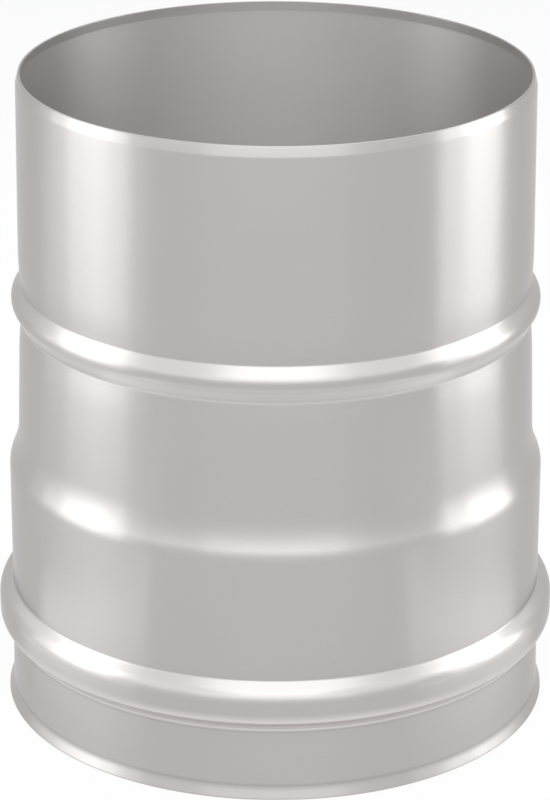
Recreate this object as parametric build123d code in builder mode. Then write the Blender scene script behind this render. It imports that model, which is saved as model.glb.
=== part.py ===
"""Single-wall pipe reducer: one thin steel sheet tube that steps up from a plain spigot to a wider socket.

All lengths are in millimetres. The tube stands on its socket's lip: the origin is the centre of
the lip's cut edge, and +Z is the tube's axis, pointing to the spigot's rim.
"""

import os
from math import atan2, dist, radians, tan

from build123d import *

os.makedirs("parts", exist_ok=True)

# Sheet
wall = 0.5

# Spigot, the narrow end that goes into the next pipe, measured outside
spigot_diameter = 124.5
spigot_length = 52.0
lead_in_length = 2.5
lead_in_draw = 0.65
spigot_neck_length = 3.1
neck_draw = 0.15

# Stop bead, rolled out of the sheet where the next pipe ends
stop_bead_rise = 2.1
stop_bead_upper_flank = 2.85
stop_bead_crest = 2.1
stop_bead_lower_flank = 4.05

# Body, the slightly conical stretch between the stop bead and the flare
body_neck_length = 5.3
body_neck_rise = 0.4
body_length = 31.7
body_taper = radians(1.7)

# Flare, the step up to the socket's width
flare_length = 5.3

# Socket, the wide end that takes the previous pipe, measured inside
socket_bore = 130.5
socket_length = 31.6

# Seal bead, the wide groove round the socket that a lip seal can sit in
seal_bead_rise = 3.4
seal_bead_upper_flank = 2.6
seal_bead_crest = 7.05
seal_bead_lower_flank = 1.95

# Collar and lip below the seal bead
collar_clearance = 0.25
collar_length = 15.9
lip_length = 2.9
lip_flare = 1.2

# How much of its shorter side each corner's round takes up
slight_round = 0.08
crease_round = 0.25
full_round = 0.42
neck_round = 0.6
flare_foot_round = 0.26
flare_top_round = 0.58

# What both cut edges are left long by before they are trimmed square
trim = 1.0

# Radii of the sheet's outer face
spigot_radius = spigot_diameter / 2
neck_radius = spigot_radius - neck_draw
stop_radius = spigot_radius + stop_bead_rise
body_top_radius = spigot_radius + body_neck_rise
body_foot_radius = body_top_radius + (body_length - body_neck_length) * tan(body_taper)
socket_radius = socket_bore / 2 + wall
seal_radius = socket_radius + seal_bead_rise
collar_radius = socket_radius + collar_clearance
lip_slope = lip_flare / lip_length
lead_in_slope = lead_in_draw / lead_in_length

# Heights, each one stacked on the one before
collar_foot = lip_length
seal_bead_foot = collar_foot + collar_length
seal_crest_foot = seal_bead_foot + seal_bead_lower_flank
seal_crest_top = seal_crest_foot + seal_bead_crest
socket_foot = seal_crest_top + seal_bead_upper_flank
flare_foot = socket_foot + socket_length
body_foot = flare_foot + flare_length
stop_bead_foot = body_foot + body_length
stop_crest_foot = stop_bead_foot + stop_bead_lower_flank
stop_crest_top = stop_crest_foot + stop_bead_crest
spigot_foot = stop_crest_top + stop_bead_upper_flank
height = spigot_foot + spigot_length

# Corners of the sheet's outer face from the lip up: radius, height and how round the corner is
corners = [
    (collar_radius + (lip_length + trim) * lip_slope, -trim, None),
    (collar_radius, collar_foot, crease_round),
    (collar_radius, seal_bead_foot, full_round),
    (seal_radius, seal_crest_foot, full_round),
    (seal_radius, seal_crest_top, full_round),
    (socket_radius, socket_foot, slight_round),
    (socket_radius, flare_foot, flare_foot_round),
    (body_foot_radius, body_foot, flare_top_round),
    (body_top_radius, stop_bead_foot - body_neck_length, neck_round),
    (neck_radius, stop_bead_foot, slight_round),
    (stop_radius, stop_crest_foot, full_round),
    (stop_radius, stop_crest_top, full_round),
    (neck_radius, spigot_foot, slight_round),
    (spigot_radius, spigot_foot + spigot_neck_length, neck_round),
    (spigot_radius, height - lead_in_length, slight_round),
    (spigot_radius - (lead_in_length + trim) * lead_in_slope, height + trim, None),
]


def round_radius(before, corner, after):
    """Radius of the arc that takes the corner's share of the shorter of its two sides."""
    shorter_side = min(dist(before[:2], corner[:2]), dist(corner[:2], after[:2]))
    heading_in = atan2(corner[1] - before[1], corner[0] - before[0])
    heading_out = atan2(after[1] - corner[1], after[0] - corner[0])
    return corner[2] * shorter_side / tan(abs(heading_out - heading_in) / 2)


rounds = [round_radius(*three) for three in zip(corners, corners[1:], corners[2:])]

# The tube: one sheet section turned round the axis, with both ends trimmed square
with BuildPart() as reducer_tube:
    with BuildSketch(Plane.XZ):
        with BuildLine():
            FilletPolyline(*[corner[:2] for corner in corners], radius=rounds)
            offset(amount=wall, side=Side.LEFT)
        make_face()
    revolve(axis=Axis.Z)
    split(bisect_by=Plane.XY, keep=Keep.TOP)
    split(bisect_by=Plane.XY.offset(height), keep=Keep.BOTTOM)

reducer_tube.part.label = "reducer_tube"
export_step(reducer_tube.part, "parts/reducer_tube.step")
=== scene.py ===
"""Looks of the pipe reducer: satin steel sheet on a plain pale floor in soft studio light.

Lengths are in metres in the CAD frame: the lip's cut edge stands on z = 0 and +Z is the tube's axis.
"""

from math import atan2, ceil, cos, dist, pi, radians, sin, tan

import bmesh
import bpy
from mathutils import Matrix, Quaternion, Vector


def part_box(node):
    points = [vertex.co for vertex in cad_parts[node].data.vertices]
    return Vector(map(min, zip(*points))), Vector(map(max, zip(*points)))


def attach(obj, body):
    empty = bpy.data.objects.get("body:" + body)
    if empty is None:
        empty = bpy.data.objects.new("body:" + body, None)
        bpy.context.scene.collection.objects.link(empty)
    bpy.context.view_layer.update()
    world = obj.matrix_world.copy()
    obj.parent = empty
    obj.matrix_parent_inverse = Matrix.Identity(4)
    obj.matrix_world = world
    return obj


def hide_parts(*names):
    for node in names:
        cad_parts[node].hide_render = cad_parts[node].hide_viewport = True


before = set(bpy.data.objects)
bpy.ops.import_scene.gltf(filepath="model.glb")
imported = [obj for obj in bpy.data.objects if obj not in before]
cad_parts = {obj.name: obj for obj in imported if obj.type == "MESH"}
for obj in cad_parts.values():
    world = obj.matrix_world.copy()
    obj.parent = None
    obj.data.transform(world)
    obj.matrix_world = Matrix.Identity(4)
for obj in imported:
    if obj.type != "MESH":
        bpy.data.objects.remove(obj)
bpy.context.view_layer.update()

MM = 0.001
NODE = "reducer_tube"
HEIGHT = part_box(NODE)[1][2]

# The photograph's frame, and the focal length and view fitted to the tube's outline, in its pixels
PHOTO_HEIGHT_PX = 800
FOCAL_PX = 3458
SENSOR_WIDTH = 36.0
CAMERA_DISTANCE = 0.8537
CAMERA_PITCH = radians(21.69)
CAMERA_ROLL = radians(0.12)
AIM = Vector((-0.00015, 0, 0.0752))


def add_camera():
    """Camera in front of the tube, looking down on it as in the photograph."""
    data = bpy.data.cameras.new("camera")
    data.sensor_width = SENSOR_WIDTH
    data.lens = FOCAL_PX / PHOTO_HEIGHT_PX * SENSOR_WIDTH
    data.clip_start = 0.01
    camera = bpy.data.objects.new("camera", data)
    bpy.context.collection.objects.link(camera)
    towards_camera = Vector((0, -cos(CAMERA_PITCH), sin(CAMERA_PITCH)))
    camera.location = AIM + CAMERA_DISTANCE * towards_camera
    level = towards_camera.to_track_quat("Z", "Y")
    camera.rotation_euler = (level @ Quaternion((0, 0, 1), CAMERA_ROLL)).to_euler()
    bpy.context.scene.camera = camera


add_camera()
bpy.context.scene.view_settings.view_transform = "Standard"

# Sheet
WALL = 0.5 * MM
CUT_EDGE_ROUND = 0.12 * MM
CUT_EDGE_SHARES = (1.0, 0.5, 0.18, 0.0)

# Spigot
SPIGOT_RADIUS = 62.3 * MM
SPIGOT_TAPER = 0.2 * MM
LEAD_IN_LENGTH = 2.5 * MM
LEAD_IN_DRAW = 0.65 * MM
SPIGOT_NECK_LENGTH = 5.6 * MM
NECK_DRAW = 0.2 * MM

# Stop bead
STOP_BEAD_RISE = 2.1 * MM
STOP_BEAD_UPPER_FLANK = 2.85 * MM
STOP_BEAD_CREST = 2.1 * MM
STOP_BEAD_LOWER_FLANK = 4.05 * MM

# Body
BODY_NECK_LENGTH = 5.3 * MM
BODY_NECK_RISE = 0.33 * MM
BODY_LENGTH = 31.7 * MM
BODY_TAPER = radians(1.7)

# Flare and socket
FLARE_LENGTH = 5.3 * MM
SOCKET_RADIUS = 65.75 * MM
SOCKET_LENGTH = 31.6 * MM

# Seal bead
SEAL_BEAD_RISE = 3.4 * MM
SEAL_BEAD_UPPER_FLANK = 2.6 * MM
SEAL_BEAD_CREST = 7.05 * MM
SEAL_BEAD_LOWER_FLANK = 1.95 * MM

# Collar and lip
COLLAR_TOP_EXTRA = 0.15 * MM
COLLAR_FOOT_EXTRA = 0.42 * MM
COLLAR_LENGTH = 15.9 * MM
LIP_LENGTH = 2.9 * MM
LIP_FLARE = 1.17 * MM

# How much of its shorter side each corner's round takes up
SLIGHT_ROUND = 0.08
CREASE_ROUND = 0.25
FULL_ROUND = 0.47
NECK_ROUND = 0.6
FLARE_TOP_ROUND = 0.66
FLARE_FOOT_ROUND = 0.28

# How finely the sheet is drawn
ARC_STEP = radians(4)
FEWEST_ARC_STEPS = 4
STRAIGHT_STEP = 3 * MM
AROUND = 264

# What both ends are drawn long by before they are cut square
TRIM = 1.0 * MM

# Heights of the section's corners, from the lip up
SEAL_FOOT = LIP_LENGTH + COLLAR_LENGTH
SEAL_CREST = SEAL_FOOT + SEAL_BEAD_LOWER_FLANK
SEAL_TOP = SEAL_CREST + SEAL_BEAD_CREST
SOCKET_FOOT = SEAL_TOP + SEAL_BEAD_UPPER_FLANK
FLARE_FOOT = SOCKET_FOOT + SOCKET_LENGTH
FLARE_TOP = FLARE_FOOT + FLARE_LENGTH
STOP_FOOT = FLARE_TOP + BODY_LENGTH
STOP_CREST = STOP_FOOT + STOP_BEAD_LOWER_FLANK
STOP_TOP = STOP_CREST + STOP_BEAD_CREST
SPIGOT_FOOT = STOP_TOP + STOP_BEAD_UPPER_FLANK


def sheet_corners():
    """Corners of the sheet's outer face from the lip up: radius, height and how round it is."""
    neck = SPIGOT_RADIUS - NECK_DRAW
    stop = SPIGOT_RADIUS + STOP_BEAD_RISE
    body_top = SPIGOT_RADIUS + BODY_NECK_RISE
    body_foot = body_top + (BODY_LENGTH - BODY_NECK_LENGTH) * tan(BODY_TAPER)
    seal = SOCKET_RADIUS + SEAL_BEAD_RISE
    collar_foot = SOCKET_RADIUS + COLLAR_FOOT_EXTRA
    spigot_root = SPIGOT_RADIUS + SPIGOT_TAPER
    spigot_end = SPIGOT_RADIUS - SPIGOT_TAPER

    lip_slope = LIP_FLARE / LIP_LENGTH
    lead_in_slope = LEAD_IN_DRAW / LEAD_IN_LENGTH
    return [
        (collar_foot + (LIP_LENGTH + TRIM) * lip_slope, -TRIM, None),
        (collar_foot, LIP_LENGTH, CREASE_ROUND),
        (SOCKET_RADIUS + COLLAR_TOP_EXTRA, SEAL_FOOT, FULL_ROUND),
        (seal, SEAL_CREST, FULL_ROUND),
        (seal, SEAL_TOP, FULL_ROUND),
        (SOCKET_RADIUS, SOCKET_FOOT, SLIGHT_ROUND),
        (SOCKET_RADIUS, FLARE_FOOT, FLARE_FOOT_ROUND),
        (body_foot, FLARE_TOP, FLARE_TOP_ROUND),
        (body_top, STOP_FOOT - BODY_NECK_LENGTH, NECK_ROUND),
        (neck, STOP_FOOT, SLIGHT_ROUND),
        (stop, STOP_CREST, FULL_ROUND),
        (stop, STOP_TOP, FULL_ROUND),
        (neck, SPIGOT_FOOT, SLIGHT_ROUND),
        (spigot_root, SPIGOT_FOOT + SPIGOT_NECK_LENGTH, NECK_ROUND),
        (spigot_end, HEIGHT - LEAD_IN_LENGTH, SLIGHT_ROUND),
        (spigot_end - (LEAD_IN_LENGTH + TRIM) * lead_in_slope, HEIGHT + TRIM, None),
    ]


def rounded(corners):
    """Points and outward normals along the rounded line: an arc at each corner, steps between."""
    points = []

    def add_straight(start, end):
        heading = (end - start).normalized()
        normal = Vector((heading.y, -heading.x))
        steps = max(1, ceil((end - start).length / STRAIGHT_STEP))
        for step in range(steps + 1):
            points.append((start.lerp(end, step / steps), normal))

    leave = Vector(corners[0][:2])
    for before, corner, after in zip(corners, corners[1:], corners[2:]):
        here = Vector(corner[:2])
        heading_in = (here - Vector(before[:2])).normalized()
        heading_out = (Vector(after[:2]) - here).normalized()
        shorter_side = min(dist(before[:2], corner[:2]), dist(corner[:2], after[:2]))
        setback = corner[2] * shorter_side
        turn = atan2(heading_in.cross(heading_out), heading_in.dot(heading_out))
        add_straight(leave, here - setback * heading_in)
        radius = setback / tan(turn / 2)
        left = Vector((-heading_in.y, heading_in.x))
        centre = here - setback * heading_in + radius * left
        arc_steps = max(FEWEST_ARC_STEPS, ceil(abs(turn) / ARC_STEP))
        for step in range(1, arc_steps):
            angle = turn * step / arc_steps
            spoke = Matrix.Rotation(angle, 2) @ (-radius * left)
            heading = Matrix.Rotation(angle, 2) @ heading_in
            points.append((centre + spoke, Vector((heading.y, -heading.x))))
        leave = here + setback * heading_out
    add_straight(leave, Vector(corners[-1][:2]))
    return points


def trimmed(line):
    """The part of a line of points between the two cut edges, cut square at each."""
    kept = []
    for start, end in zip(line, line[1:]):
        if start.y < 0 < end.y:
            kept.append(start.lerp(end, -start.y / (end.y - start.y)))
        if 0 <= start.y <= HEIGHT:
            kept.append(start)
        if start.y < HEIGHT < end.y:
            kept.append(start.lerp(end, (HEIGHT - start.y) / (end.y - start.y)))
    return kept


def sheet_section():
    """Closed loop of (radius, height) round the sheet, and where its inner face starts in it.

    Each corner of the cut edges becomes a small parabola, set out by shares of its two sides.
    """
    outer_line = rounded(sheet_corners())
    outer = trimmed([point for point, normal in outer_line])
    inner = trimmed([point - WALL * normal for point, normal in outer_line])
    inner.reverse()
    loop = outer + inner
    cut_corners = {0, len(outer) - 1, len(outer), len(loop) - 1}
    section = []
    inner_start = None
    for index, here in enumerate(loop):
        if index == len(outer):
            inner_start = len(section)
        if index not in cut_corners:
            section.append(here)
            continue
        to_before = (loop[index - 1] - here).normalized() * CUT_EDGE_ROUND
        to_after = (loop[(index + 1) % len(loop)] - here).normalized() * CUT_EDGE_ROUND
        for share in CUT_EDGE_SHARES:
            opposite = (1.0 - share ** 0.5) ** 2
            section.append(here + share * to_before + opposite * to_after)
    return section, inner_start


def add_sheet():
    """The whole tube: the sheet's section turned round the axis."""
    section, inner_start = sheet_section()
    mesh = bmesh.new()
    rings = []
    for step in range(AROUND):
        angle = 2 * pi * step / AROUND
        rings.append([mesh.verts.new((p.x * cos(angle), p.x * sin(angle), p.y)) for p in section])
    for ring, next_ring in zip(rings, rings[1:] + rings[:1]):
        for index in range(len(section)):
            after = (index + 1) % len(section)
            face = mesh.faces.new((ring[index], next_ring[index], next_ring[after], ring[after]))
            face.smooth = True
            face.material_index = 0 if index < inner_start else 1
    mesh.normal_update()
    data = bpy.data.meshes.new("reducer_sheet")
    mesh.to_mesh(data)
    mesh.free()
    sheet = bpy.data.objects.new("reducer_sheet", data)
    bpy.context.collection.objects.link(sheet)
    return sheet


# Colours, as linear values
STEEL_COLOUR = (0.462, 0.442, 0.426)
# The inner face's colour is lighter than the outer's: painted light that lifts the shade inside the
# tube
INNER_LIGHTENED_COLOUR = (0.55, 0.532, 0.517)
EDGE_TINT = (0.8, 0.8, 0.8, 1.0)
FLOOR_COLOUR = (0.9, 0.9, 0.9, 1.0)
WHITE = (1.0, 1.0, 1.0, 1.0)

# Finish: the gloss is stretched along the axis, across the rolling lines
GLOSS_STRETCH = 0.85
GLOSS_TURN = 0.25
LINES_SQUEEZE = (50, 50, 6000)
LINES_DETAIL = 3.0
CLOUDS_SCALE = 28.0
CLOUDS_DETAIL = 4.0
CLOUDS_DARKEST = 0.97
CLOUDS_LIGHTEST = 1.03
GRAIN_STRENGTH = 0.06
GRAIN_DEPTH = 0.01 * MM
WAVES_DEPTH = 0.15 * MM

# Tone by height, as height and tone. The lip's and the seal bead's creases get painted shade, and the
# beads' lower flanks get painted highlights;
# the rim is only made darker just below its top cut edge. Each group's first and last tone carry on
# below and above it.
# Painted shade: the lip a little darker, and a dark line just above the lip's crease
LIP_PAINTED_SHADE = [
    (0.0, 0.96),
    (LIP_LENGTH - 0.3 * MM, 0.96),
    (LIP_LENGTH + 0.35 * MM, 0.82),
    (LIP_LENGTH + 0.9 * MM, 1.0),
]
# Painted shade in a line below the seal bead's foot, then painted highlights up its lower flank
SEAL_PAINTED_SHADE_AND_HIGHLIGHT = [
    (SEAL_FOOT - 2.0 * MM, 1.0),
    (SEAL_FOOT - 1.7 * MM, 0.87),
    (SEAL_FOOT - 1.35 * MM, 1.02),
    (SEAL_FOOT - 0.9 * MM, 1.48),
    (SEAL_FOOT - 0.45 * MM, 1.13),
    (SEAL_FOOT + 0.15 * MM, 1.83),
    (SEAL_FOOT + 0.7 * MM, 2.0),
    (SEAL_FOOT + 1.3 * MM, 1.7),
    (SEAL_CREST + 0.3 * MM, 1.6),
    (SEAL_CREST + 1.1 * MM, 1.3),
    (SEAL_CREST + 1.8 * MM, 1.1),
    (SEAL_CREST + 2.4 * MM, 1.0),
]
# Painted highlights on the stop bead's lower flank
STOP_PAINTED_HIGHLIGHT = [
    (STOP_FOOT - 0.6 * MM, 1.0),
    (STOP_FOOT - 0.1 * MM, 1.22),
    (STOP_FOOT + 0.5 * MM, 1.3),
    (STOP_FOOT + 1.2 * MM, 1.4),
    (STOP_FOOT + 2.4 * MM, 1.42),
    (STOP_CREST - 0.6 * MM, 1.25),
    (STOP_CREST + 0.6 * MM, 1.0),
]
# Darker just below the top cut edge
RIM_MARKS = [
    (HEIGHT - 0.4 * MM, 1.0),
    (HEIGHT - 0.1 * MM, 0.82),
]


def rolled_steel(name, metallic, dull, shine, colour):
    """Cold-rolled stainless sheet: fine lines round the tube, soft cloudiness and slight waves.

    Its roughness varies from line to line, between shine and dull.
    """
    material = bpy.data.materials.new(name)
    material.use_nodes = True
    nodes = material.node_tree.nodes
    links = material.node_tree.links
    shader = nodes["Principled BSDF"]
    shader.inputs["Metallic"].default_value = metallic
    shader.inputs["Specular Tint"].default_value = EDGE_TINT
    shader.inputs["Anisotropic"].default_value = GLOSS_STRETCH
    shader.inputs["Anisotropic Rotation"].default_value = GLOSS_TURN

    place = nodes.new("ShaderNodeTexCoord")

    # Rolling lines: noise squeezed along the axis, so that it runs round the tube
    squeeze = nodes.new("ShaderNodeMapping")
    squeeze.inputs["Scale"].default_value = LINES_SQUEEZE
    links.new(place.outputs["Object"], squeeze.inputs["Vector"])
    lines = nodes.new("ShaderNodeTexNoise")
    lines.inputs["Scale"].default_value = 1.0
    lines.inputs["Detail"].default_value = LINES_DETAIL
    links.new(squeeze.outputs["Vector"], lines.inputs["Vector"])

    # Cloudiness: broad soft patches in the finish
    clouds = nodes.new("ShaderNodeTexNoise")
    clouds.inputs["Scale"].default_value = CLOUDS_SCALE
    clouds.inputs["Detail"].default_value = CLOUDS_DETAIL
    links.new(place.outputs["Object"], clouds.inputs["Vector"])

    tone = nodes.new("ShaderNodeMix")
    tone.data_type = "RGBA"
    tone.inputs[6].default_value = tuple(CLOUDS_DARKEST * part for part in colour) + (1.0,)
    tone.inputs[7].default_value = tuple(CLOUDS_LIGHTEST * part for part in colour) + (1.0,)
    links.new(clouds.outputs["Fac"], tone.inputs[0])

    # Painted shade and painted highlights by height, and the darker rim edge: one ramp over the
    # height for each group
    split = nodes.new("ShaderNodeSeparateXYZ")
    links.new(place.outputs["Object"], split.inputs["Vector"])
    shaded = tone.outputs[2]
    for marks in (LIP_PAINTED_SHADE, SEAL_PAINTED_SHADE_AND_HIGHLIGHT, STOP_PAINTED_HIGHLIGHT, RIM_MARKS):
        lowest = marks[0][0]
        highest = marks[-1][0]
        rise = nodes.new("ShaderNodeMapRange")
        rise.inputs["From Min"].default_value = lowest
        rise.inputs["From Max"].default_value = highest
        links.new(split.outputs["Z"], rise.inputs["Value"])
        ramp = nodes.new("ShaderNodeValToRGB")
        links.new(rise.outputs["Result"], ramp.inputs["Fac"])
        stops = ramp.color_ramp.elements
        for height, shade in marks[1:-1]:
            stops.new((height - lowest) / (highest - lowest))
        for stop, (height, shade) in zip(stops, marks):
            stop.position = (height - lowest) / (highest - lowest)
            stop.color = (shade, shade, shade, 1.0)
        marked = nodes.new("ShaderNodeVectorMath")
        marked.operation = "MULTIPLY"
        links.new(shaded, marked.inputs[0])
        links.new(ramp.outputs["Color"], marked.inputs[1])
        shaded = marked.outputs["Vector"]
    links.new(shaded, shader.inputs["Base Color"])

    gloss = nodes.new("ShaderNodeMapRange")
    gloss.inputs["To Min"].default_value = shine
    gloss.inputs["To Max"].default_value = dull
    links.new(lines.outputs["Fac"], gloss.inputs["Value"])
    links.new(gloss.outputs["Result"], shader.inputs["Roughness"])

    # Relief: the rolling lines, then the slight waves that forming leaves in thin sheet
    grain = nodes.new("ShaderNodeBump")
    grain.inputs["Strength"].default_value = GRAIN_STRENGTH
    grain.inputs["Distance"].default_value = GRAIN_DEPTH
    links.new(lines.outputs["Fac"], grain.inputs["Height"])
    waves = nodes.new("ShaderNodeBump")
    waves.inputs["Strength"].default_value = 1.0
    waves.inputs["Distance"].default_value = WAVES_DEPTH
    links.new(clouds.outputs["Fac"], waves.inputs["Height"])
    links.new(grain.outputs["Normal"], waves.inputs["Normal"])
    links.new(waves.outputs["Normal"], shader.inputs["Normal"])
    return material


# The outer face's finish comes first, then the inner face's, whose colour is lightened as painted
# light that lifts the shade inside the tube
outer_finish = rolled_steel("satin_steel", metallic=1.0, dull=0.295, shine=0.265, colour=STEEL_COLOUR)
inner_lightened_finish = rolled_steel("inner_steel_lightened", metallic=0.78, dull=0.42, shine=0.36, colour=INNER_LIGHTENED_COLOUR)
sheet = add_sheet()
sheet.data.materials.append(outer_finish)
sheet.data.materials.append(inner_lightened_finish)
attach(sheet, "root")
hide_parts(NODE)

# Floor
FLOOR_SIZE = 6.0

# Share of the floor's look that is plain white where it is seen. The rest shows the tube's shadow.
FLOOR_GLOW = 0.87


def seen_directly(nodes, links):
    """A value that is 1 for camera, glossy and transmission rays, and 0 for all others."""
    path = nodes.new("ShaderNodeLightPath")
    glossy = nodes.new("ShaderNodeMath")
    glossy.operation = "MAXIMUM"
    links.new(path.outputs["Is Camera Ray"], glossy.inputs[0])
    links.new(path.outputs["Is Glossy Ray"], glossy.inputs[1])
    either = nodes.new("ShaderNodeMath")
    either.operation = "MAXIMUM"
    links.new(glossy.outputs[0], either.inputs[0])
    links.new(path.outputs["Is Transmission Ray"], either.inputs[1])
    return either.outputs[0]


def floor_material():
    """Matt pale floor that reads as white where it is seen, and still takes the tube's shadow."""
    material = bpy.data.materials.new("pale_floor")
    material.use_nodes = True
    nodes = material.node_tree.nodes
    links = material.node_tree.links
    nodes.clear()
    matt = nodes.new("ShaderNodeBsdfDiffuse")
    matt.inputs["Color"].default_value = FLOOR_COLOUR
    white = nodes.new("ShaderNodeEmission")
    white.inputs["Color"].default_value = WHITE
    share = nodes.new("ShaderNodeMath")
    share.operation = "MULTIPLY"
    share.inputs[1].default_value = FLOOR_GLOW
    links.new(seen_directly(nodes, links), share.inputs[0])
    mix = nodes.new("ShaderNodeMixShader")
    links.new(share.outputs[0], mix.inputs[0])
    links.new(matt.outputs[0], mix.inputs[1])
    links.new(white.outputs[0], mix.inputs[2])
    output = nodes.new("ShaderNodeOutputMaterial")
    links.new(mix.outputs[0], output.inputs["Surface"])
    return material


def add_floor():
    """Flat square floor at the height of the lip's cut edge."""
    half = FLOOR_SIZE / 2
    corners = [(-half, -half, 0), (half, -half, 0), (half, half, 0), (-half, half, 0)]
    data = bpy.data.meshes.new("floor")
    data.from_pydata(corners, [], [(0, 1, 2, 3)])
    data.materials.append(floor_material())
    floor = bpy.data.objects.new("floor", data)
    bpy.context.collection.objects.link(floor)


add_floor()

# Light: the world's strength for rays that don't see it directly, and the lamps' slightly cool white
WORLD_FILL = 0.25
LAMP_COLOUR = (0.985, 1.0, 1.015)


def add_world():
    """Even white surround: full white where it is seen, and a soft fill for the rest."""
    world = bpy.data.worlds.new("surround")
    bpy.context.scene.world = world
    world.use_nodes = True
    nodes = world.node_tree.nodes
    links = world.node_tree.links
    background = nodes["Background"]
    background.inputs["Color"].default_value = WHITE
    strength = nodes.new("ShaderNodeMapRange")
    strength.inputs["To Min"].default_value = WORLD_FILL
    strength.inputs["To Max"].default_value = 1.0
    links.new(seen_directly(nodes, links), strength.inputs["Value"])
    links.new(strength.outputs["Result"], background.inputs["Strength"])


def add_softbox(name, centre, faces, width, height, radiance):
    """Rectangular soft light at a place, turned to face a point. Radiance 1 reflects as white."""
    data = bpy.data.lights.new(name, "AREA")
    data.shape = "RECTANGLE"
    data.size = width
    data.size_y = height
    data.color = LAMP_COLOUR
    data.energy = radiance * width * height * pi
    light = bpy.data.objects.new(name, data)
    bpy.context.collection.objects.link(light)
    light.location = centre
    light.rotation_euler = (Vector(centre) - Vector(faces)).to_track_quat("Z", "Y").to_euler()
    light.visible_camera = False


# Soft boxes: name, centre, the point each one faces, width, height and radiance
SOFTBOXES = [
    # Left of the tube: near boxes for its walls, a low one for the socket and far ones for the beads
    ("left_core", (-0.22, -0.085, 0.115), (0, -0.085, 0.115), 0.08, 0.18, 0.62),
    ("left_middle", (-0.22, -0.07, 0.115), (0, -0.07, 0.115), 0.14, 0.18, 0.45),
    ("left_spread", (-0.22, -0.05, 0.115), (0, -0.05, 0.115), 0.26, 0.18, 0.18),
    ("left_skirt", (-0.1, -0.056, 0.01), (0, -0.056, 0.01), 0.10, 0.02, 0.44),
    ("left_far", (-0.6, -0.065, 0.26), (0, -0.065, 0.26), 0.25, 0.48, 1.35),
    ("left_far_spread", (-0.6, -0.05, 0.26), (0, -0.05, 0.26), 0.50, 0.48, 0.65),
    ("left_top", (-0.56, 0.03, 0.52), (0, 0, 0.15), 0.40, 0.30, 1.25),
    # Right of the tube, likewise
    ("right_core", (0.22, -0.01, 0.115), (0, -0.01, 0.115), 0.08, 0.18, 0.7),
    ("right_spread", (0.22, -0.025, 0.115), (0, -0.025, 0.115), 0.145, 0.18, 0.5),
    ("right_skirt", (0.1, -0.05, 0.01), (0, -0.05, 0.01), 0.10, 0.02, 0.4),
    ("right_far", (0.6, 0.085, 0.26), (0, 0.085, 0.26), 0.26, 0.48, 1.55),
    ("right_far_spread", (0.6, 0.03, 0.26), (0, 0.03, 0.26), 0.50, 0.48, 0.55),
    ("right_top", (0.56, 0.06, 0.52), (0, 0, 0.15), 0.40, 0.30, 1.1),
    # In front and above
    ("front_panel", (0, -1.1, 0.56), (0, -0.2, 0.3), 1.3, 0.50, 0.5),
    ("front_wide", (-0.2, -1.1, 0.56), (0, -0.2, 0.3), 2.6, 0.50, 0.25),
    ("overhead_wide", (0, 0, 0.8), (0, 0, 0.1), 3.0, 3.0, 0.52),
    ("overhead_core", (0.02, -0.25, 0.75), (0.02, -0.25, 0.1), 0.54, 1.3, 1.0),
]

add_world()
for softbox in SOFTBOXES:
    add_softbox(*softbox)
